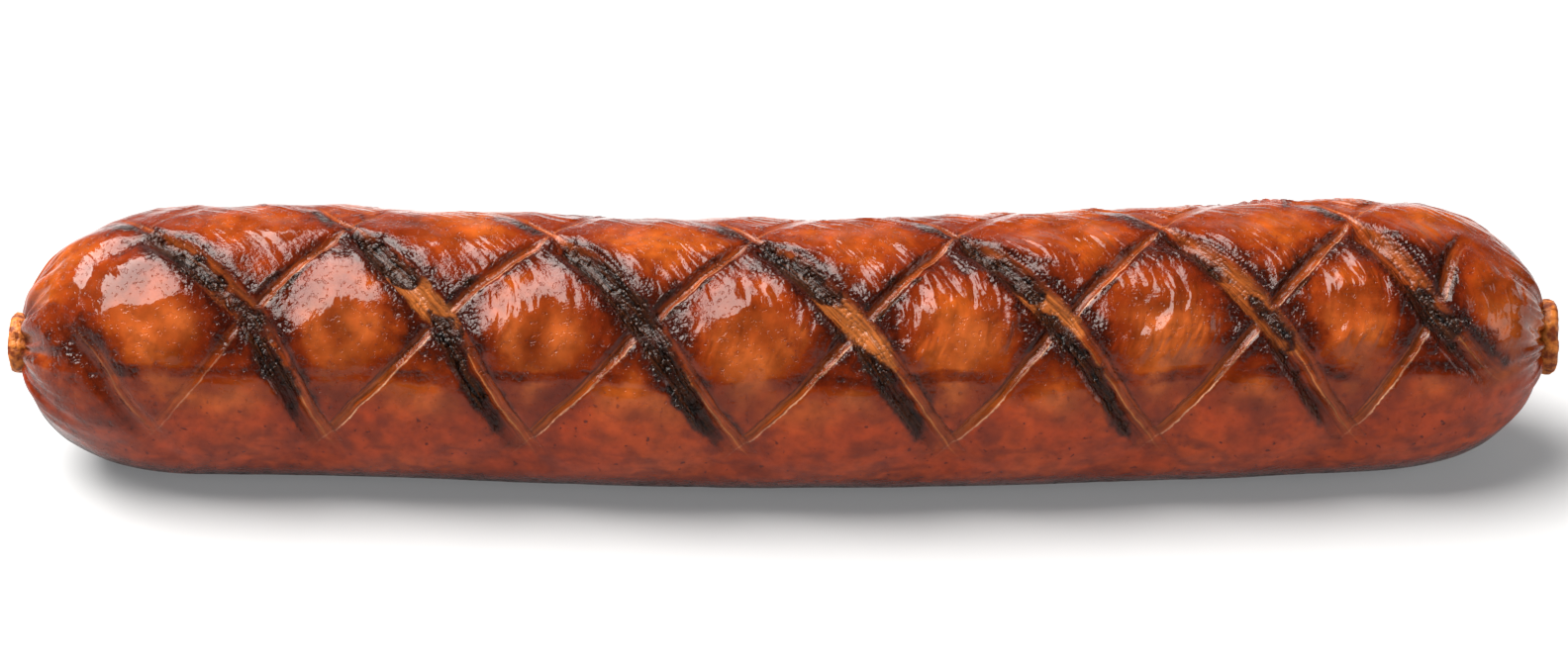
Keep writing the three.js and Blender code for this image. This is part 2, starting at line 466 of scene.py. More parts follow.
@dataclass
class Skin:
    """The whole surface as one grid from nub to nub, with the sizes of its larger relief."""

    body: Body = field(default_factory=Body)
    scoring: Scoring = field(default_factory=Scoring)
    left_nub: Nub = Nub(-1, 3.3, 1.7, 0.10, 0.6)
    right_nub: Nub = Nub(1, 3.8, 1.9, 0.14, 2.1)
    throat_radius: float = 2.8
    throat_depth: float = 0.55
    nub_lengths: tuple[float, ...] = (0.35, 0.7, 0.93, 1.0, 1.0)
    nub_widths: tuple[float, ...] = (0.93, 1.0, 1.0, 0.93, 0.75, 0.12)
    nub_back: float = 0.1
    dome_opening: float = 0.11
    straight_stations: int = 456
    dome_stations: int = 78
    nub_stations: int = 14
    points_around: int = 152
    coarse: float = 0.12
    front_band: Band = (-30, 105, 12)
    back_band: Band = (115, 205, 12)
    thin_band: Band = (86, 142, 9)
    pad_drop: float = 0.55
    pad_reach: float = 6.4
    broad_drop: float = 0.35
    broad_reach: float = 3.6
    pleats: int = 11
    seed: int = 7

    def nub_outline(self, nub: Nub) -> tuple[Array, Array]:
        """Even steps along a polyline from the throat over the nub's rim to its end face.

        Args:
            nub: One of the two.

        Returns:
            Each ring's place along X and its radius.
        """
        lengths = [length * nub.length for length in self.nub_lengths]
        away = np.array([-self.throat_depth, -self.nub_back, *lengths])
        wide = np.array([self.throat_radius, *(width * nub.radius for width in self.nub_widths)])
        path = np.concatenate([[0], np.cumsum(np.hypot(np.diff(away), np.diff(wide)))])
        even = np.linspace(0, path[-1], self.nub_stations)
        x = nub.side * (self.body.half_length + np.interp(even, path, away))
        return x, np.interp(even, path, wide)

    def stations(self) -> tuple[Array, Array, Array]:
        """Lists the rings from the left nub's face to the right nub's.

        Dome rings lie at even steps of the superellipse's angle.

        Returns:
            Each ring's place along X, its plain radius, and 1 on a nub or 0 on the body.
        """
        b = self.body
        straight = b.half_length - b.dome_length
        turn = np.linspace(0, np.pi / 2 - self.dome_opening, self.dome_stations + 1)[1:]
        out = straight + b.dome_length * np.sin(turn) ** (2 / b.dome_power)
        middle = np.linspace(-straight, straight, self.straight_stations)
        inner = np.concatenate([-out[::-1], middle, out])
        left, left_radius = self.nub_outline(self.left_nub)
        right, right_radius = self.nub_outline(self.right_nub)
        x = np.concatenate([left[::-1], inner, right])
        radius = np.concatenate([left_radius[::-1], b.plain_radius(inner), right_radius])
        on_nub = np.ones(len(x))
        on_nub[self.nub_stations : -self.nub_stations] = 0
        return x, radius, on_nub

    def angles(self) -> Array:
        """Spreads the points round a ring, closest in front and widest underneath.

        Returns:
            Angles in degrees from -90 to 270, at even steps of the summed density.
        """
        fine = np.linspace(-90, 270, 3601)
        front = (1 - self.coarse) * window(fine, *self.front_band)
        density = self.coarse + front + 0.5 * window(fine, *self.back_band)
        total = np.concatenate([[0], np.cumsum((density[1:] + density[:-1]) / 2)])
        even = np.linspace(0, total[-1], self.points_around, endpoint=False)
        return np.interp(even, total, fine)

    def grid(self) -> Grid:
        """Lays the plain grid: every ring of stations crossed with every angle.

        Returns:
            The flattened grid, one row for each point.
        """
        x, radius, on_nub = self.stations()
        angle = self.angles()
        shape = (len(x), len(angle))
        rings = [np.repeat(values, shape[1]) for values in (x, radius, on_nub)]
        return Grid(shape, rings[0], np.tile(angle, shape[0]), rings[1], rings[2])


@dataclass
class Gap:
    """Where each point lies against the nearest cut of one family.

    Side is the signed distance to the cut, positive to its right, and away the plain distance,
    past the cut's ends too. Number is the cut's, share that of its full depth, and span the
    way from the top row of crossings (0) to the low row (1).
    """

    side: Array
    away: Array
    number: Array
    share: Array
    span: Array

    @classmethod
    def measure(cls, cuts: list[Cut], scoring: Scoring, grid: Grid) -> "Gap":
        """Measures square to each cut on the unrolled skin and keeps the nearest.

        Args:
            cuts: One family's cuts.
            scoring: Their layout.
            grid: The points.

        Returns:
            The gap, one value of each kind for each point.
        """
        arc = np.radians(1) * np.maximum(grid.radius, 1)
        sides, aways, shares = [], [], []
        for cut in cuts:
            slope = (cut.along(grid.angle + 1) - cut.along(grid.angle - 1)) / (2 * arc)
            side = (grid.x - cut.along(grid.angle)) / np.hypot(1, slope)
            past = np.maximum(np.maximum(cut.start - grid.angle, grid.angle - cut.end), 0)
            inside = np.minimum(grid.angle - cut.start, cut.end - grid.angle)
            sides.append(side)
            aways.append(np.hypot(side, past * arc))
            shares.append(smooth(inside, 0, scoring.fade))
        nearest = np.argmin(np.array(aways), axis=0)
        pick = (nearest, np.arange(len(nearest)))
        top, low = scoring.rows[2].angle, scoring.rows[0].angle
        return cls(
            side=np.array(sides)[pick],
            away=np.array(aways)[pick],
            number=np.array([cut.number for cut in cuts])[nearest],
            share=np.array(shares)[pick],
            span=(top - grid.angle) / (top - low),
        )

    def present(self) -> Array:
        """Is 1 along a cut, and falls to 0 at its shallow ends."""
        return smooth(self.share, 0, 0.3)


@dataclass(frozen=True)
class Profile:
    """A cut's cross-section: depths in millimetres at distances from its middle line."""

    side: tuple[float, ...]
    depth: tuple[float, ...]

    def at(self, side: Array) -> Array:
        """Depth at each distance: straight lines between the listed points."""
        return np.interp(side, self.side, self.depth)


UPPER_BROAD = Profile((-1.8, -1.25, -0.7, 0.0, 0.6, 1.1, 1.65), (0, 0.55, 1.1, 1.25, 1.05, 0.6, 0))
LOWER_BROAD = Profile(
    (-1.85, -1.35, -0.8, -0.35, 0.1, 0.42, 0.8, 1.3, 1.75),
    (0, 0.75, 1.2, 1.05, 0.65, 0.38, 0.65, 0.5, 0),
)
NARROW = Profile((-0.75, -0.5, -0.25, 0.15, 0.5, 0.66), (0, 0.35, 0.6, 0.5, 0.2, 0))


@dataclass(frozen=True)
class BrowningAndPaintedShade:
    """How dark each kind of browning, and the painted horizon line, is, from 0 to 1."""

    halo: float = 0.85
    crust: float = 0.85
    crossing: float = 0.95
    broad_rim: float = 0.55
    narrow_rim: float = 0.35
    # Painted reflection: the dark edge of the floor mirrored along the front.
    seam: float = 0.42
    ridge: float = 0.18
    left_end: float = 0.5
    fleck: float = 0.8


@dataclass
class Surface:
    """The plain grid with what lies on it: gaps to the cuts, relief, burns and browning.

    Edges are how far a burn fades: to its sides in millimetres, and past its ends as a share
    of the front rows' span. The number that goes into the noise with the points is its
    wavelength in millimetres.
    """

    skin: Skin
    grid: Grid
    plain: Array
    broad: Gap
    narrow: Gap
    noise: Noise
    ragged: Array
    jagged: Array
    brown: BrowningAndPaintedShade = BrowningAndPaintedShade()
    char_edges: Pair = (1.0, 0.05)
    halo_edges: Pair = (3.0, 0.08)
    bare_edges: Pair = (0.9, 0.10)
    middle_row: float = 0.456
    lean_reach: float = 0.3
    swing: float = 0.45
    pinch: float = 0.5
    crust_band: Band = (44, 62, 5)
    crust_rim: Band = (0.75, 1.15, 0.3)
    crossing_halo: float = 6.5
    crossing_wander: float = 1.6
    calm_band: Band = (82, 136, 14)
    ridge_band: Band = (72, 112, 12)
    # Where the painted horizon line runs, at the edge of the floor's reflection.
    horizon_line_band: Band = (15.5, 18.5, 2.5)
    fleck_band: Band = (96, 150, 12)
    fleck_height: float = 0.10
    crown_low: Band = (8, 34, 18)
    crown_high: Band = (80, 104, 8)
    front_wrinkles: Band = (34, 76, 14)
    back_wrinkles: Band = (106, 160, 16)
    dented_band: Band = (34, 160, 20)
    opening: Band = (-1.6, 1.6, 0.6)
    taut_side: Band = (0.9, 5.0, 1.4)
    taut_pitch: float = 43.4
    taut_at: float = -6.4
    bow: float = 0.05
    lip_height: float = 0.07
    char_height: float = 0.07
    ripple_height: float = 0.17
    ripple_size: Triple = (1.8, 4.8, 1)
    fold_height: float = 0.09
    fold_size: Triple = (7.0, 1.3, 1)
    fold_angle: float = 15.0
    pleat_height: float = 0.25
    crease_angle: float = 22.0
    crumb_height: float = 0.22
    seen: float = 4.0
    thinned: float = 0.72

    @classmethod
    def lay(cls, skin: Skin) -> "Surface":
        """Lays the grid and measures it against both families of cuts.

        The first broad cut is shallow, and so are the first narrow cuts low down and the last
        ones at the right end.

        Args:
            skin: The skin to work out.

        Returns:
            The surface, ready for its masks and relief.
        """
        grid = skin.grid()
        plain = skin.body.place(grid.x, grid.angle, grid.radius)
        noise = Noise(skin.seed)
        gaps = []
        for family in Family:
            gap = Gap.measure(skin.scoring.cuts(family), skin.scoring, grid)
            gap.side += noise.mixed(plain, ((0.2, 4.0), (0.1, 1.3)))
            gaps.append(gap)
        broad, narrow = gaps
        broad.share *= 1 - 0.45 * (broad.number == 0)
        faint = (narrow.number == 1) * (1 - smooth(grid.angle, 36, 44))
        narrow.share *= (1 - 0.6 * faint) * (1 - 0.85 * smooth(grid.x, 70, 73))
        ragged = noise.mixed(plain, ((0.03, 2.2), (0.02, 0.9)))
        jagged = noise.mixed(plain + 50, ((0.5, 2.4), (0.35, 0.9)))
        return cls(skin, grid, plain, broad, narrow, noise, ragged, jagged)

    def within(self, stretch: Stretch, side_edge: float, span_edge: float) -> Array:
        """How far each point lies within a stretch of a broad cut, from 0 to its strength.

        Its half width tapers as 1 less the cubed way from its middle, and more of it lies
        towards the middle row of crossings.

        Args:
            stretch: The stretch.
            side_edge: Width of the falls to the left and right, in millimetres.
            span_edge: Length of the falls at its ends, as a share of the front rows' span.

        Returns:
            One value for each point.
        """
        middle, half = (stretch.start + stretch.end) / 2, (stretch.end - stretch.start) / 2
        way = (self.broad.span + self.ragged - middle) / (half + span_edge)
        lean = np.clip((self.middle_row - middle) / self.lean_reach, -1, 1)
        taper = np.clip(1 - np.abs(way) ** 3, 0, 1) ** 0.8 * (1 + self.swing * lean * way)
        wide = (stretch.right - stretch.left) / 2
        hug = max(-lean, 0)
        centre = (stretch.left + stretch.right) / 2 - hug * wide * (1 - np.minimum(taper, 1))
        edge = wide * taper - self.pinch * (1 - taper) - self.jagged * min(1, wide)
        outside = np.abs(self.broad.side - centre) - edge
        across = 1 - smooth(outside, -0.4 * side_edge, side_edge)
        along = 1 - smooth(np.abs(way), 0.8 - 0.4 * hug * (way > 0), 1.05)
        return stretch.strength * (self.broad.number == stretch.cut) * along * across

    def most(self, stretches: tuple[Stretch, ...], edges: Pair) -> Array:
        """The strongest of several stretches at each point."""
        return np.max([self.within(stretch, *edges) for stretch in stretches], axis=0)

    def crust(self) -> Array:
        """Dotted crust on both rims of a narrow cut, above the middle row of crossings.

        Returns:
            A share for each point, alike on the front and on the back.
        """
        band = window(90 - np.abs(self.grid.angle - 90), *self.crust_band)
        rim = window(np.abs(self.narrow.side), *self.crust_rim)
        patchy = smooth(self.noise.at(self.plain, 3.0), -0.5, 0.3)
        clear = smooth(self.broad.away, 1.4, 2.2)
        return self.brown.crust * band * rim * patchy * clear * self.narrow.present()

    def burnt(self) -> Array:
        """Char: the burnt stretches and the crust beside the narrow cuts.

        Returns:
            A share for each point.
        """
        burns = self.most(FRONT_BURNS + BACK_BURNS, self.char_edges)
        patchy = 1 + 0.35 * self.noise.at(self.plain, 2.6)
        return np.clip(np.maximum(burns * patchy, self.crust()), 0, 1)

    def bare(self) -> Array:
        """Golden spots where the casing has come away from a broad cut."""
        return self.most(BARE, self.bare_edges)

    def around_crossings(self) -> Array:
        """Browning round each crossing, weak over the top: a Gaussian of an uneven distance.

        Returns:
            A share for each point.
        """
        away = np.hypot(self.broad.away, self.narrow.away)
        wander = self.crossing_wander * self.noise.at(self.plain, 5.0)
        crossed = np.minimum(self.broad.present(), self.narrow.present())
        calm = 1 - 0.85 * window(self.grid.angle, *self.calm_band)
        return self.brown.crossing * bump(away + wander, 0, self.crossing_halo) * crossed * calm

    def around_cuts(self) -> Array:
        """Browning along the rims of both kinds of cut, weak where they draw in.

        Returns:
            A share for each point.
        """
        broad = self.brown.broad_rim * (1 - smooth(self.broad.away, 1.4, 4.6))
        narrow = self.brown.narrow_rim * (1 - smooth(self.narrow.away, 0.6, 3.0))
        return np.maximum(broad, narrow) * (1 - 0.7 * self.drawn_in())

    def seam(self) -> Array:
        """The broken dark line in front where the paler underside starts: a painted reflection edge,
        where the floor mirrored in the casing ends.

        Returns:
            A share for each point.
        """
        wavy = self.grid.angle + 5 * self.noise.at(self.plain, 11.0)
        broken = smooth(self.noise.at(self.plain, 6.0), -0.4, 0.3)
        return self.brown.seam * window(wavy, *self.horizon_line_band) * broken

    def browning_and_painted_shade(self) -> Array:
        """Dark browning round burns, crossings and cuts, and a little darker along the top and on the
        lower left end. Along the bottom where it rests it is painted contact shade, with some browning
        from where it lay, and the painted horizon line runs along the front.

        Returns:
            A value for each point, from 0 to a little over 1.
        """
        angle = self.grid.angle
        halo = self.brown.halo * self.most(FRONT_BURNS + BACK_BURNS, self.halo_edges)
        around = np.maximum(halo, self.around_crossings()) + self.around_cuts()
        upper = np.clip(around, 0, 1) * (0.35 + 0.65 * smooth(angle, 2, 34))
        ridge = self.brown.ridge * window(angle, *self.ridge_band)
        left_end = self.brown.left_end * smooth(-self.grid.x, 64, 79) * (1 - smooth(angle, 25, 50))
        # Painted contact shade: darker towards the bottom, where it rests on the floor, with some
        # browning from where it lay.
        painted_contact_shade = 1 - smooth(angle, -58, -22) + 0.75 * smooth(angle, 214, 246)
        marks = np.maximum(painted_contact_shade, self.flecks())
        return np.maximum(upper + ridge + left_end + self.seam(), marks)

    def flecks(self) -> Array:
        """Small crusts that stand on the casing over the top, from 0 to 1."""
        spots = smooth(self.noise.at(self.plain + 90, 2.3), 0.50, 0.78)
        return self.brown.fleck * spots * window(self.grid.angle, *self.fleck_band)

    def drawn_in(self) -> Array:
        """Where the cuts draw in to thin lines over the top, from 0 to 1."""
        return window(self.grid.angle, *self.skin.thin_band)

    def read_across(self, gap: Gap) -> Array:
        """Where a point lies against the nearest cut of a family, as the finish reads it.

        Args:
            gap: The family's gap.

        Returns:
            Rows of the distance from the cut's middle line, as on a cut of full width, the way
            along it in millimetres, and how far it is open, which is 0 away from the cuts.
        """
        side = gap.side / (1 - self.thinned * self.drawn_in())
        along = gap.span * self.skin.scoring.span_length
        open_here = gap.share * (1 - smooth(gap.away, 0.7 * self.seen, 0.9 * self.seen))
        return np.stack([np.clip(side, -self.seen, self.seen), along, open_here], axis=-1)

    def crown(self) -> Array:
        """The pale middle of each pad, a little below its centre.

        Returns:
            A share for each point.
        """
        nearest = np.minimum(self.broad.away, self.narrow.away * 1.2)
        patchy = 0.55 + 0.6 * self.noise.at(self.plain, 3.8)
        low = window(self.grid.angle, *self.crown_low)
        high = 0.15 * window(self.grid.angle, *self.crown_high)
        lit = 0.15 + 0.85 * np.maximum(low, high)
        return np.clip(smooth(nearest, 2.0, 6.0) * patchy * lit, 0, 1)

    def under(self) -> Array:
        """The lower side below a wavy line, from 0 above to 1 below, which the finish paints paler as
        light from the floor.
        """
        wavy = self.grid.angle + 7 * self.noise.at(self.plain, 9.0)
        return np.maximum(1 - smooth(wavy, -6, 12), smooth(wavy, 172, 193))

    def cut_depth(self) -> Array:
        """Depth of both families' grooves: their profiles, narrowed and shallow over the top.

        Returns:
            The deeper groove's depth at each point.
        """
        span = self.broad.span
        thin = self.drawn_in()
        low = smooth(span, 0.42, 0.58)
        side = self.broad.side / (1 - self.thinned * thin)
        broad = self.broad.share * (UPPER_BROAD.at(side) * (1 - low) + LOWER_BROAD.at(side) * low)
        wide = (1 - 0.3 * smooth(span, 0.45, 0.6)) * (1 - 0.6 * thin)
        shallow = 1 - 0.25 * smooth(span, 0.45, 0.8)
        narrow = self.narrow.share * NARROW.at(self.narrow.side / wide) * shallow
        return np.maximum(broad, narrow) * (1 - self.thinned * thin)

    def pads(self) -> Array:
        """How far the skin falls towards the nearest cut, less on a narrow dome.

        Returns:
            A depth for each point.
        """
        broad = self.skin.broad_drop * (1 - smooth(self.broad.away, 0, self.skin.broad_reach))
        narrow = self.skin.pad_drop * (1 - smooth(self.narrow.away, 0, self.skin.pad_reach))
        shared = np.maximum(broad, narrow) + 0.4 * np.minimum(broad, narrow)
        return shared * smooth(self.grid.radius, 4, 12) * (1 - 0.6 * self.drawn_in())

    def lips(self) -> Array:
        """The casing's curled rims: low ridges just outside both kinds of cut.

        Returns:
            A height for each point.
        """
        uneven = 0.6 + 0.4 * self.noise.at(self.plain, 2.5)
        broad = self.broad.share * bump(np.abs(self.broad.side), 2.0, 0.45)
        narrow = self.narrow.share * bump(self.narrow.side, 1.0, 0.22)
        return self.lip_height * uneven * np.maximum(0.5 * broad, narrow)

    def rippled(self) -> Array:
        """How deeply the casing has wrinkled, which grows from the left end to the right.

        It has wrinkled in the upper part of the front and of the back. It is smooth in the
        cuts, and nearly so on the ends and, in every other pad, just below the narrow cut.

        Returns:
            About 1 at most in the middle of the length.
        """
        g = self.grid
        clear = 1 - window(self.broad.side, *self.opening) * self.broad.present()
        every_other = smooth(np.cos(2 * np.pi * (g.x - self.taut_at) / self.taut_pitch), -0.1, 0.5)
        taut = window(self.narrow.side, *self.taut_side) * smooth(g.angle, 36, 46) * every_other
        bands = [window(g.angle, *band) for band in (self.front_wrinkles, self.back_wrinkles)]
        upper = 0.08 + 0.92 * np.maximum(*bands)
        domes = 1 - 0.6 * smooth(np.abs(g.x), 72, 79)
        patchy = 0.3 + 0.7 * smooth(self.noise.at(self.plain, 5.5), -0.45, 0.3)
        narrow = smooth(self.narrow.away, 0.5, 1.2)
        deeper = 1.2 + g.x / self.skin.body.half_length
        return clear * narrow * (1 - 0.5 * taut) * upper * domes * patchy * deeper

    def bowed(self) -> tuple[Array, Array]:
        """Coordinates across and along the wrinkles, which bow to the right in each pad."""
        arc = np.radians(self.grid.angle - 45) * self.grid.radius
        return self.grid.x + self.bow * arc**2, arc

    def drawn_out(self, across: Array, along: Array, size: Triple, shift: float = 0.0) -> Array:
        """Noise drawn out along a direction on the skin.

        Args:
            across: Place across the direction, in millimetres.
            along: Place along it.
            size: Size of a cell across, along and inwards.
            shift: Moves the noise, so that two kinds of wrinkle differ.

        Returns:
            One value for each point, about -1 to 1.
        """
        flat = np.stack([across, along, np.zeros(len(along))], axis=-1)
        return self.noise.at(flat + shift, size)

    def wrinkles(self) -> Array:
        """What the finish needs for the finer wrinkles: across them, along them, and how deep."""
        return np.stack([*self.bowed(), self.rippled()], axis=-1)

    def folds(self) -> Array:
        """Low wrinkles that run along the body, just above its underside.

        Returns:
            A height for each point, half as much on the back.
        """
        g = self.grid
        wavy = g.angle + 5 * self.noise.at(self.plain, 11.0)
        here = bump(wavy, self.fold_angle, 6) + 0.5 * bump(wavy, 180 - self.fold_angle, 6)
        lines = self.drawn_out(g.x, np.radians(g.angle) * g.radius, self.fold_size, 20)
        return self.fold_height * here * lines

    def gathers(self) -> Array:
        """Pleats that converge on the nubs: a cosine round the dome and finer ridged noise.

        Returns:
            A height for each point, with one deep crease at the left end.
        """
        g = self.grid
        inner = smooth(g.radius, 2.6, 4.2)
        near = inner * (1 - smooth(g.radius, 5.5, 14.0))
        turn = np.radians(g.angle)
        coarse = np.cos(self.skin.pleats * turn + g.x / 2)
        ring = np.stack([np.sign(g.x) * 9, 7 * np.cos(turn), 7 * np.sin(turn)], axis=-1)
        fine = 1 - 2 * np.abs(self.noise.at(ring + g.x[:, None] * 0.05, 1.0))
        crease = bump(g.angle, self.crease_angle, 3.5) * (1 - smooth(g.x, -80.5, -75.0)) * inner
        return self.pleat_height * (near * (coarse + 1.3 * fine) - 1.2 * crease)

    def height(self, burnt: Array) -> Array:
        """All relief on the body and the nubs, measured along the normal.

        Args:
            burnt: The char mask.

        Returns:
            Heights in millimetres, negative inwards.
        """
        dented = 0.03 + 0.17 * window(self.grid.angle, *self.dented_band)
        uneven = 0.12 * self.noise.at(self.plain, 13.0) + dented * self.noise.at(self.plain, 3.6)
        char = self.char_height * burnt * (0.4 + self.noise.layered(self.plain, 1.2, 2))
        lines = self.drawn_out(*self.bowed(), self.ripple_size)
        ripples = self.ripple_height * self.rippled() * lines
        raised = self.lips() + ripples + self.folds() + char + self.fleck_height * self.flecks()
        skin = uneven + raised - self.pads() - self.cut_depth()
        body = skin * smooth(self.grid.radius, 2.6, 5.5) + self.gathers()
        crumb = self.crumb_height * self.noise.layered(self.plain, 1.6, 3)
        return np.where(self.grid.on_nub > 0, crumb, body)

    def grain(self) -> Array:
        """Coordinates for the fibres in a cut, which follow the broad cut where both meet.

        Returns:
            Rows of the place across the cut, along it, and one layer of its own per cut.
        """
        wide = self.broad.away < np.maximum(self.narrow.away, 1.4)
        across = np.where(wide, self.broad.side, self.narrow.side)
        layer = np.where(wide, self.broad.number * 7, self.narrow.number * 7 + 3)
        along = self.broad.span * self.skin.scoring.span_length
        return np.stack([across, along, layer], axis=-1)

    def points(self, burnt: Array) -> Array:
        """Moves each plain point along its normal by the relief, and lays it on the table.

        Args:
            burnt: The char mask.

        Returns:
            Rows of x, y and z in millimetres, none below zero.
        """
        radius = self.grid.radius * self.nub_lobes()
        uneven = self.skin.body.place(self.grid.x, self.grid.angle, radius)
        moved = uneven + self.grid.normals(uneven) * self.height(burnt)[:, None]
        moved[:, 2] = np.maximum(moved[:, 2], 0)
        return moved

    def nub_lobes(self) -> Array:
        """Two waves that make a nub's outline uneven.

        Returns:
            A factor on the radius of each point, 1 on the body.
        """
        g = self.grid
        turn = np.radians(g.angle)
        factor = np.ones(len(g.x))
        for nub in (self.skin.left_nub, self.skin.right_nub):
            wave = np.cos(2 * turn + nub.turn) + np.cos(5 * turn) / 2
            here = (g.on_nub > 0) & (np.sign(g.x) == nub.side)
            factor = np.where(here, 1 + nub.lobe * wave / 2, factor)
        return factor


class Recipe:
    """A material in the making: its node tree, with its patterns and shares by name."""

    def __init__(self, name: str) -> None:
        """Starts an empty material.

        Args:
            name: The material's name.
        """
        self.material = bpy.data.materials.new(name)
        self.material.use_nodes = True
        self.tree = self.material.node_tree
        self.tree.nodes.clear()
        self.named: dict[str, Socket] = {}

    def add(
        self,
        kind: str,
        inputs: dict[str | int, Any] | None = None,
        output: str | int = 0,
        stops: Stops = (),
        **settings: Any,
    ) -> Socket:
        """Adds a shader node with its settings and links.

        Args:
            kind: The node's type, without its ShaderNode prefix.
            inputs: Each input's value, the socket or the name that it is linked to, or its
                hex colour.
            output: Which output is returned.
            stops: A colour ramp's places and colours, from its start to its end.
            settings: The node's own properties.

        Returns:
            The chosen output socket.
        """
        node = self.tree.nodes.new("ShaderNode" + kind)
        for name, value in settings.items():
            setattr(node, name, value)
        for name, value in (inputs or {}).items():
            if isinstance(value, str):
                value = linear(value) if value.startswith("#") else self.named[value]
            if isinstance(value, Socket):
                self.tree.links.new(value, node.inputs[name])
            else:
                node.inputs[name].default_value = value
        if stops:
            ramp = node.color_ramp.elements
            ramp[0].position, ramp[0].color = stops[0][0], linear(stops[0][1])
            ramp[1].position, ramp[1].color = stops[-1][0], linear(stops[-1][1])
            for place, colour in stops[1:-1]:
                ramp.new(place).color = linear(colour)
        return node.outputs[output]

    def layered(self, base: Any, layers: tuple[tuple[Any, Any], ...], blend: str = "MIX") -> Socket:
        """Lays colours one over another.

        Args:
            base: The lowest colour.
            layers: Each layer's share and its colour.
            blend: How a layer meets what is below it.

        Returns:
            The colour socket of them all.
        """
        for share, colour in layers:
            parts = {FACTOR: share, BELOW: base, ABOVE: colour}
            base = self.add("Mix", parts, MIXED, data_type="RGBA", blend_type=blend)
        return base

    def done(self, shader: Socket) -> bpy.types.Material:
        """Links the shader to the material's output.

        Args:
            shader: The shader's socket.

        Returns:
            The finished material.
        """
        end = self.tree.nodes.new("ShaderNodeOutputMaterial")
        self.tree.links.new(shader, end.inputs["Surface"])
        return self.material


def per_millimetre(size: float) -> float:
    """A texture scale in metres whose features are about a size in millimetres."""
    return 1 / (size * MM)


@dataclass(frozen=True)
class Share:
    """A share that rises between two sums of a mask and of patterns that roughen its edge."""

    name: str
    mask: str
    low: float
    high: float
    most: float = 1.0
    patterns: tuple[tuple[str, float], ...] = ()


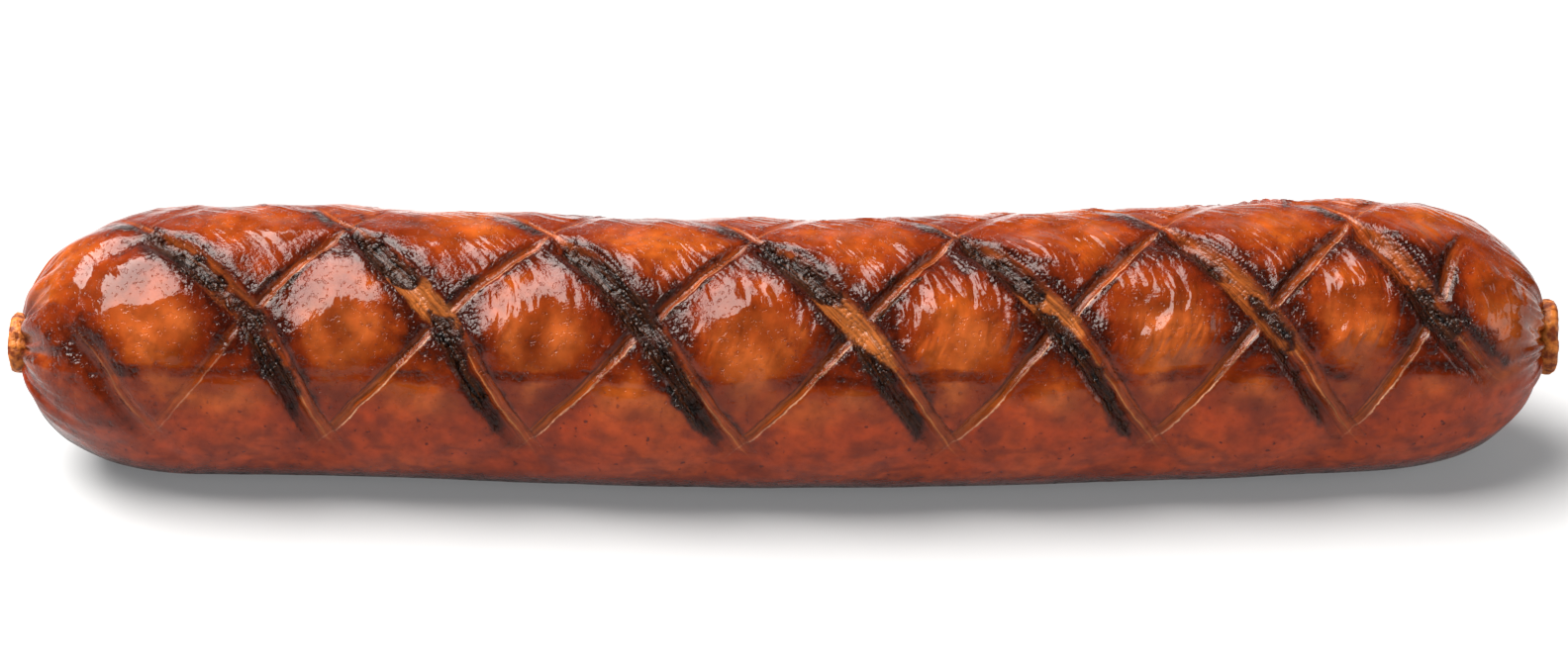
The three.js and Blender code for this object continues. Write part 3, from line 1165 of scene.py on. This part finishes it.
@dataclass(frozen=True)
class GrilledCasing:
    """Natural hog casing, brown and greasy from the grill, over cooked pork.

    Rendered fat gives it sharp, pale highlights, which the dried grains beside the burns break
    into sparkles. The meat in the cuts is fibrous and duller, and the char is black, brittle
    and granular. Sizes are in millimetres. Walls are colours across a cut, from left to right.
    """

    deep: str = "#581905"
    middle: str = "#802f0a"
    light: str = "#984512"
    crown: str = "#b85c28"
    # Painted light: the underside colour is paler, for the light that the pale floor throws onto the
    # lower side.
    underside: str = "#a5380b"
    blotch: str = "#4e170c"
    reddened: str = "#682009"
    # The darkest brown, which also paints the contact shade along the bottom.
    browning_and_painted_shade: str = "#260804"
    scorched: str = "#34100a"
    char: str = "#080403"
    char_warm: str = "#4a2410"
    golden: str = "#a8602c"
    nub: str = "#c87430"
    nub_dark: str = "#74300f"
    upper_walls: Stops = (
        (0.10, "#3f1208"),
        (0.28, "#7a2c0e"),
        (0.50, "#8f3d14"),
        (0.74, "#b25a24"),
        (0.92, "#5e1c0a"),
    )
    # Low on a broad cut, the pale stop at 0.60 is a painted highlight on the ridge, and the dark stop at
    # 0.93 is painted shade at the right rim.
    lower_walls_with_painted_light: Stops = (
        (0.08, "#2c0b05"),
        (0.40, "#6e260c"),
        (0.565, "#8f3e16"),
        (0.60, "#d08242"),
        (0.635, "#9a4418"),
        (0.84, "#86360f"),
        (0.93, "#260a06"),
    )
    # Across a narrow cut, the dark stop at 0.10 is painted shade on the upper-left wall, and the pale
    # stop at 0.89 is a painted highlight along the lower-right rim.
    narrow_walls_shade_and_highlight: Stops = (
        (0.10, "#451808"),
        (0.26, "#8c3f16"),
        (0.55, "#a24e1a"),
        (0.80, "#86380f"),
        (0.89, "#e8b088"),
    )
    # Each family's name, half the width that its walls' colours cover, and half its opening.
    widths: tuple[tuple[str, float, float], ...] = (("narrow", 0.8, 0.62), ("broad", 2.0, 1.62))
    # Each even noise's name, size and detail.
    noises: tuple[tuple[str, float, float], ...] = (
        ("tone", 9.0, 4.0),
        ("mottle", 1.9, 5.0),
        ("edge", 1.5, 6.0),
        ("speck", 0.75, 1.0),
        ("pit", 0.5, 2.0),
        ("soot", 0.45, 4.0),
        ("patch", 1.5, 3.0),
        ("grease", 0.5, 2.0),
        ("crumb", 0.9, 4.0),
    )
    shares: tuple[Share, ...] = (
        Share("reddened", "browning_and_painted_shade", 0.55, 1.05, 0.85, (("edge", 0.9),)),
        Share("darkened", "browning_and_painted_shade", 0.95, 1.65, 0.92, (("edge", 1.1),)),
        Share("charred", "burnt", 1.78, 2.40, 1.0, (("soot", 0.6), ("patch", 1.3), ("fibre", 0.9))),
        Share("scorched", "burnt", 0.50, 1.1, 0.9, (("edge", 0.8),)),
        Share("golden", "bare", 0.55, 1.40, 0.75, (("fibre", 0.7),)),
        Share("clouded", "cloud", 0.45, 0.74, 0.6),
        Share("specked", "speck", 0.69, 0.75, 0.85),
        Share("glinting", "patch", 0.46, 0.62),
        Share("pitted", "pit", 0.60, 0.67),
    )
    # A pattern, the mask or number that it is cut down by, and its height in millimetres.
    heights: tuple[tuple[str, str | float, float], ...] = (
        ("grease", 1.0, 0.004),
        ("specked", 1.0, -0.05),
        ("pitted", 1.0, -0.03),
        ("wrinkle", "rippled", 0.46),
        ("ripplet", "rippled", 0.06),
        ("soot", "reddened", 0.08),
        ("grains", "darkened", -0.20),
        ("fibre", "meat", 0.08),
        ("grains", "charred", -0.28),
        ("soot", "charred", 0.10),
        ("crumb", "nub", 0.35),
    )
    gloss: float = 0.05
    duller: tuple[tuple[str, float], ...] = (
        ("meat", 0.12),
        ("charred", 0.03),
        ("darkened", 0.05),
        ("under", 0.20),
        ("nub", 0.35),
    )
    cloud_size: Triple = (3.4, 2.2, 2.2)
    fibre_size: Pair = (0.28, 4.0)
    wrinkle_size: Pair = (1.3, 3.6)
    ripplet_scale: float = 2.3
    granule: float = 0.48
    mottling: Pair = (0.70, 1.24)
    streaking: Pair = (0.45, 1.4)
    stain: float = 0.45
    painted_floor_light: float = 0.7
    lower_from: Pair = (11.0, 14.5)
    wall_wander: float = 0.10
    rim_wander: float = 0.35
    rim_edge: Pair = (0.32, 0.08)
    scatter_depth: float = 1.6
    shade: float = 0.77

    def patterns(self, recipe: Recipe) -> None:
        """Adds the patterns and masks that the colour and the relief share, by name.

        Args:
            recipe: The material in the making.
        """
        named = recipe.named
        place = recipe.add("TexCoord", output="Object")
        for name, size, detail in self.noises:
            parts = {"Vector": place, "Scale": per_millimetre(size), "Detail": detail}
            named[name] = recipe.add("TexNoise", parts)
        for name in ("burnt", "browning_and_painted_shade", "bare", "under", "crown", "nub"):
            named[name] = recipe.add("Attribute", output="Fac", attribute_name=name)
        rows = {
            name: recipe.add("Attribute", output="Vector", attribute_name=name)
            for name in ("broad", "narrow", "grain", "wrinkle")
        }
        for name in ("broad", "narrow"):
            for k, part in enumerate(("side", "along", "open")):
                named[f"{name} {part}"] = recipe.add("SeparateXYZ", {0: rows[name]}, k)
        cloud = tuple(per_millimetre(size) for size in self.cloud_size)
        fibre = (1 / self.fibre_size[0], 1 / self.fibre_size[1], 1.0)
        wrinkle = (1 / self.wrinkle_size[0], 1 / self.wrinkle_size[1], 0.0)
        for name, source, stretch, scale, detail, distortion in (
            ("cloud", place, cloud, 1.0, 4.0, 0.4),
            ("fibre", rows["grain"], fibre, 1.0, 3.0, 0.0),
            ("wrinkle", rows["wrinkle"], wrinkle, 1.0, 0.6, 0.5),
            ("ripplet", rows["wrinkle"], wrinkle, self.ripplet_scale, 0.0, 0.5),
        ):
            drawn = recipe.add("VectorMath", {0: source, 1: stretch}, operation="MULTIPLY")
            parts = {"Vector": drawn, "Scale": scale, "Detail": detail, "Distortion": distortion}
            named[name] = recipe.add("TexNoise", parts)
        named["rippled"] = recipe.add("SeparateXYZ", {0: rows["wrinkle"]}, 2)
        granule = recipe.add("TexVoronoi", {"Vector": place, "Scale": per_millimetre(self.granule)})
        named["rounded"] = recipe.add("Math", {0: granule, 1: 2.0}, operation="POWER")

    def edges(self, recipe: Recipe) -> None:
        """Turns patterns and masks into shares from 0 to 1, each with a ragged edge.

        Args:
            recipe: The material in the making, with its patterns.
        """
        named = recipe.named
        for share in self.shares:
            total: Any = share.mask
            for pattern, weight in share.patterns:
                parts = {0: pattern, 1: weight, 2: total}
                total = recipe.add("Math", parts, operation="MULTIPLY_ADD")
            parts = {"Value": total, "From Min": share.low, "From Max": share.high, "To Max": share.most}
            named[share.name] = recipe.add("MapRange", parts, interpolation_type="SMOOTHSTEP")
        outer, inner = self.rim_edge
        for name, _, rim in self.widths:
            away = recipe.add("Math", {0: name + " side"}, operation="ABSOLUTE")
            parts = {0: "soot", 1: self.rim_wander, 2: away}
            ragged = recipe.add("Math", parts, operation="MULTIPLY_ADD")
            parts = {"Value": ragged, "From Min": rim + outer, "From Max": rim + inner}
            inside = recipe.add("MapRange", parts, interpolation_type="SMOOTHSTEP")
            named[name] = recipe.add("Math", {0: inside, 1: name + " open"}, operation="MULTIPLY")
        named["meat"] = recipe.add("Math", {0: "broad", 1: "narrow"}, operation="MAXIMUM")
        named["grains"] = recipe.add("Math", {0: "rounded", 1: "glinting"}, operation="MULTIPLY")

    def varied(self, recipe: Recipe, colour: Socket, pattern: str, limits: Pair) -> Socket:
        """Multiplies a colour by a pattern.

        Args:
            recipe: The material in the making.
            colour: The colour's socket.
            pattern: The pattern's name.
            limits: The factors where the pattern is low and where it is high.

        Returns:
            The colour socket.
        """
        low, high = limits
        parts = {"Value": pattern, "From Min": 0.3, "From Max": 0.7, "To Min": low, "To Max": high}
        return recipe.layered(colour, ((1.0, recipe.add("MapRange", parts)),), "MULTIPLY")

    def colour_of_skin(self, recipe: Recipe) -> Socket:
        """Uneven browning of the casing, clouded underneath. The lower side is painted paler as light
        from the floor, and the darkest stains hold painted contact shade along the bottom and the
        painted horizon line.

        Args:
            recipe: The material in the making, with its shares.

        Returns:
            The colour socket.
        """
        tones = ((0.34, self.deep), (0.50, self.middle), (0.66, self.light))
        top = recipe.add("ValToRGB", {"Fac": "tone"}, stops=tones)
        # Painted light from the floor: a share of the paler underside colour below the wavy line.
        lower = recipe.add("Math", {0: "under", 1: self.painted_floor_light}, operation="MULTIPLY")
        skin = recipe.layered(top, (("crown", self.crown), (lower, self.underside)))
        mottled = self.varied(recipe, skin, "mottle", self.mottling)
        shown = recipe.add("MapRange", {"Value": "under", "To Min": 0.3, "To Max": 1.0})
        marks = recipe.add("Math", {0: "clouded", 1: "specked"}, operation="MAXIMUM")
        faded = recipe.add("Math", {0: marks, 1: shown}, operation="MULTIPLY")
        stains = (("reddened", self.reddened), ("darkened", self.browning_and_painted_shade))
        return recipe.layered(mottled, ((faded, self.blotch), *stains))

    def colour_of_cuts(self, recipe: Recipe, skin: Socket) -> Socket:
        """Fibrous meat in the cuts: each wall and ridge of a cut has its own tone, with painted shade at
        some rims and painted highlights on a narrow cut's lower-right rim and a broad cut's low ridge.

        Args:
            recipe: The material in the making, with its shares.
            skin: Colour of the casing round the cuts.

        Returns:
            The colour socket.
        """
        start, end = self.lower_from
        lower = recipe.add("MapRange", {"Value": "broad along", "From Min": start, "From Max": end})
        stained = [
            recipe.add("Math", {0: share, 1: self.stain}, operation="MULTIPLY")
            for share in ("reddened", "darkened")
        ]
        colour = skin
        for name, reach, _ in self.widths:
            parts = {"Value": name + " side", "From Min": -reach, "From Max": reach}
            across = recipe.add("MapRange", parts)
            parts = {0: "fibre", 1: self.wall_wander, 2: across}
            wavy = recipe.add("Math", parts, operation="MULTIPLY_ADD")
            even = recipe.add("Math", {0: wavy, 1: self.wall_wander / 2}, operation="SUBTRACT")
            tables = (self.narrow_walls_shade_and_highlight,) if name == "narrow" else (self.upper_walls, self.lower_walls_with_painted_light)
            wall, *rest = [recipe.add("ValToRGB", {"Fac": even}, stops=table) for table in tables]
            wall = recipe.layered(wall, tuple((lower, other) for other in rest))
            stains = ((stained[0], self.reddened), (stained[1], self.browning_and_painted_shade))
            wall = recipe.layered(wall, (*stains, ("golden", self.golden)))
            meat = self.varied(recipe, wall, "fibre", self.streaking)
            colour = recipe.layered(colour, ((name, meat),))
        return colour

    def relief(self, recipe: Recipe) -> Socket:
        """Grease on the casing, grains beside the burns, fibres, char and the nubs' crumb.

        Args:
            recipe: The material in the making, with its shares.

        Returns:
            The normal's socket.
        """
        total: Any = 0.0
        for pattern, mask, height in self.heights:
            masked = recipe.add("Math", {0: pattern, 1: mask}, operation="MULTIPLY")
            total = recipe.add("Math", {0: masked, 1: height, 2: total}, operation="MULTIPLY_ADD")
        return recipe.add("Bump", {"Height": total, "Distance": MM, "Strength": 1.0})

    def dullness(self, recipe: Recipe) -> Socket:
        """Roughness: glossy grease on the casing, drier meat, char, underside and nubs.

        Args:
            recipe: The material in the making, with its shares.

        Returns:
            The roughness socket.
        """
        total: Any = self.gloss
        for mask, amount in self.duller:
            total = recipe.add("Math", {0: mask, 1: amount, 2: total}, operation="MULTIPLY_ADD")
        return total

    def material(self) -> bpy.types.Material:
        """Builds the material.

        Returns:
            One material for the casing, the cut meat, the char and the nubs.
        """
        recipe = Recipe("grilled natural casing")
        self.patterns(recipe)
        self.edges(recipe)
        cut = self.colour_of_cuts(recipe, self.colour_of_skin(recipe))
        black, warm = (0.40, self.char), (0.75, self.char_warm)
        soot = recipe.add("ValToRGB", {"Fac": "fibre"}, stops=(black, warm))
        dark, pale = (0.38, self.nub_dark), (0.60, self.nub)
        crumb = recipe.add("ValToRGB", {"Fac": "crumb"}, stops=(dark, pale))
        burnt = recipe.layered(cut, (("scorched", self.scorched), ("charred", soot), ("nub", crumb)))
        grey = (self.shade, self.shade, self.shade, 1.0)
        inputs = {
            "Base Color": recipe.layered(burnt, ((1.0, grey),), "MULTIPLY"),
            "Roughness": self.dullness(recipe),
            "Normal": self.relief(recipe),
            "IOR": 1.28,
            "Subsurface Weight": 0.12,
            "Subsurface Radius": (1.0, 0.35, 0.18),
            "Subsurface Scale": self.scatter_depth * MM,
        }
        return recipe.done(recipe.add("BsdfPrincipled", inputs))


@dataclass(frozen=True)
class WhiteSweep:
    """Matt white studio paper, which glows a little: even and bright, with no sheen."""

    glow: float
    colour: str = "#a2a3a5"

    def material(self, name: str) -> bpy.types.Material:
        """Builds the material.

        Args:
            name: The material's name.

        Returns:
            The material.
        """
        inputs = {
            "Base Color": self.colour,
            "Roughness": 0.9,
            "Specular IOR Level": 0.0,
            "Emission Color": self.colour,
            "Emission Strength": self.glow,
        }
        recipe = Recipe(name)
        return recipe.done(recipe.add("BsdfPrincipled", inputs))


def make_mesh(name: str, points: Array, faces: list[Any]) -> bpy.types.Object:
    """Puts points and faces into a new object at the origin.

    Args:
        name: The object's name.
        points: Rows of x, y and z in millimetres.
        faces: Lists of point numbers, anticlockwise seen from outside.

    Returns:
        The object, linked to the scene.
    """
    mesh = bpy.data.meshes.new(name)
    mesh.from_pydata((points * MM).tolist(), [], faces)
    mesh.update()
    made = bpy.data.objects.new(name, mesh)
    bpy.context.scene.collection.objects.link(made)
    return made


@dataclass
class Sausage:
    """The link itself: one closed skin from the left nub to the right one."""

    skin: Skin = field(default_factory=Skin)
    finish: GrilledCasing = field(default_factory=GrilledCasing)
    name: str = "grilled_sausage_skin"

    def faces(self, shape: tuple[int, int]) -> list[Any]:
        """Quads between neighbouring rings and a fan of triangles over each end.

        Args:
            shape: How many rings there are and how many points lie round each.

        Returns:
            The faces. The last two points are the middles of the ends.
        """
        rings, count = shape
        ring = np.arange(rings - 1)[:, None] * count
        here = np.arange(count)[None, :]
        after = (here + 1) % count
        corners = [ring + here, ring + count + here, ring + count + after, ring + after]
        quads = np.stack(corners, axis=-1).reshape(-1, 4)
        left, right = rings * count, rings * count + 1
        start = (rings - 1) * count
        first = [(left, int(k), int(n)) for k, n in zip(here[0], after[0])]
        last = [(right, int(start + n), int(start + k)) for k, n in zip(here[0], after[0])]
        return quads.tolist() + first + last

    def note(self, mesh: bpy.types.Mesh, name: str, values: Array, at_ends: float = 0.0) -> None:
        """Writes a number or a row of three for each point, for the finish to read.

        Args:
            mesh: The skin's mesh.
            name: The attribute's name.
            values: One number or row for each grid point.
            at_ends: What the middle of each end gets.
        """
        kind, key = ("FLOAT", "value") if values.ndim == 1 else ("FLOAT_VECTOR", "vector")
        ends = np.full((2, *values.shape[1:]), at_ends)
        layer = mesh.attributes.new(name, kind, "POINT")
        layer.data.foreach_set(key, np.concatenate([values, ends]).astype(np.float32).ravel())

    def build(self) -> bpy.types.Object:
        """Works out the surface and what its finish reads, and puts them into a mesh.

        Returns:
            The sausage's object.
        """
        surface = Surface.lay(self.skin)
        burnt = surface.burnt()
        points = surface.points(burnt)
        count = surface.grid.shape[1]
        poles = np.array([points[:count].mean(axis=0), points[-count:].mean(axis=0)])
        made = make_mesh(self.name, np.vstack([points, poles]), self.faces(surface.grid.shape))
        made.data.shade_smooth()
        self.note(made.data, "nub", surface.grid.on_nub, 1.0)
        noted = {
            "burnt": burnt,
            "browning_and_painted_shade": surface.browning_and_painted_shade(),
            "bare": surface.bare(),
            "under": surface.under(),
            "crown": surface.crown(),
            "grain": surface.grain(),
            "wrinkle": surface.wrinkles(),
            "broad": surface.read_across(surface.broad),
            "narrow": surface.read_across(surface.narrow),
        }
        for name, values in noted.items():
            self.note(made.data, name, values)
        return made

    def dress(self, made: bpy.types.Object) -> None:
        """Gives the skin its finish and its place in the frame.

        Args:
            made: The skin.
        """
        made.data.materials.append(self.finish.material())
        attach(made, BODY)
        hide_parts(NODE)


@dataclass(frozen=True)
class Lamp:
    """A soft rectangular light, with its size and distance in millimetres and watts.

    Way is the direction from the sausage to the light, and a mirrored one shows in reflections.
    """

    name: str
    way: Triple
    far: float
    size: Pair
    power: float
    mirrored: bool


@dataclass
class Studio:
    """White paper below and behind, soft lights and the camera."""

    floor_half: float = 5000.0
    floor_glow: float = 0.4
    sweep_behind: float = 2300.0
    sweep_height: float = 1500.0
    sweep_half: float = 3200.0
    sweep_glow: float = 0.2
    lens: float = 100.0
    sensor: float = 36.0
    distance: float = 470.0
    elevation: float = 30.0
    aim: Triple = (-0.1, -1.583, 16.6)
    world: float = 0.07
    lamp_colour: str = "#fffcf7"
    lamps: tuple[Lamp, ...] = (
        Lamp("softbox", (-0.46, 0.10, 0.905), 1700, (1250, 1900), 133, True),
        Lamp("front fill", (0.1, -0.9, 0.45), 1900, (1800, 1200), 9, False),
        Lamp("top fill", (0.35, 0.5, 1.0), 2300, (2200, 2200), 4, False),
        Lamp("side window", (0.95, -0.25, 0.35), 2000, (800, 1100), 11, True),
    )

    def paper(self, name: str, corners: list[Triple], glow: float) -> None:
        """Sets up a flat sheet of white paper.

        Args:
            name: The sheet's name.
            corners: Its four corners in millimetres.
            glow: How strongly it glows.
        """
        made = make_mesh(name, np.array(corners), [(0, 1, 2, 3)])
        made.data.materials.append(WhiteSweep(glow).material(f"white {name} paper"))

    def sheets(self) -> None:
        """Lays the floor, and stands a sheet far behind, which the top of the casing mirrors."""
        h = self.floor_half
        self.paper("floor", [(-h, -h, 0), (h, -h, 0), (h, h, 0), (-h, h, 0)], self.floor_glow)
        w, y, top = self.sweep_half, self.sweep_behind, self.sweep_height
        upright = [(-w, y, 1), (w, y, 1), (w, y, top), (-w, y, top)]
        self.paper("backdrop", upright, self.sweep_glow)

    def hang(self, lamp: Lamp) -> None:
        """Hangs a light that points at the sausage.

        Args:
            lamp: The light.
        """
        data = bpy.data.lights.new(lamp.name, "AREA")
        data.shape = "RECTANGLE"
        data.size, data.size_y = lamp.size[0] * MM, lamp.size[1] * MM
        data.energy = lamp.power
        data.color = linear(self.lamp_colour)[:3]
        made = bpy.data.objects.new(lamp.name, data)
        unit = np.array(lamp.way) / np.linalg.norm(lamp.way)
        right = np.cross(-unit, (0.0, 1.0, 0.0))
        right /= np.linalg.norm(right)
        turn = np.eye(4)
        turn[:3, 0], turn[:3, 1], turn[:3, 2] = right, np.cross(right, -unit), unit
        turn[:3, 3] = unit * lamp.far * MM
        made.matrix_world = turn.T.tolist()
        made.visible_camera = False
        made.visible_glossy = lamp.mirrored
        bpy.context.scene.collection.objects.link(made)

    def lights(self) -> None:
        """A wide softbox up to the left, two fills, a weak window to the right and a dim world."""
        for lamp in self.lamps:
            self.hang(lamp)
        world = bpy.data.worlds.new("studio")
        world.use_nodes = True
        shade = world.node_tree.nodes["Background"]
        shade.inputs["Color"].default_value = (self.world, self.world, self.world, 1)
        bpy.context.scene.world = world

    def camera(self) -> None:
        """Looks down at the sausage from the front through a long lens."""
        data = bpy.data.cameras.new("camera")
        data.lens = self.lens
        data.sensor_width = self.sensor
        made = bpy.data.objects.new("camera", data)
        rise = math.radians(self.elevation)
        x, y, z = self.aim
        back, up = self.distance * math.cos(rise), self.distance * math.sin(rise)
        made.location = (x * MM, (y - back) * MM, (z + up) * MM)
        made.rotation_euler = (math.pi / 2 - rise, 0, 0)
        bpy.context.scene.collection.objects.link(made)
        bpy.context.scene.camera = made


def main() -> None:
    """Builds the studio and the sausage round the fixed frame and logs the sausage's points and faces.
    """
    logging.basicConfig(level=logging.INFO, format="%(name)s: %(message)s")
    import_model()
    studio = Studio()
    studio.camera()
    studio.lights()
    studio.sheets()
    bpy.context.scene.view_settings.view_transform = "Standard"
    sausage = Sausage()
    made = sausage.build()
    sausage.dress(made)
    log.info("%s: %d points, %d faces", made.name, len(made.data.vertices), len(made.data.polygons))


if __name__ == "__main__":
    main()
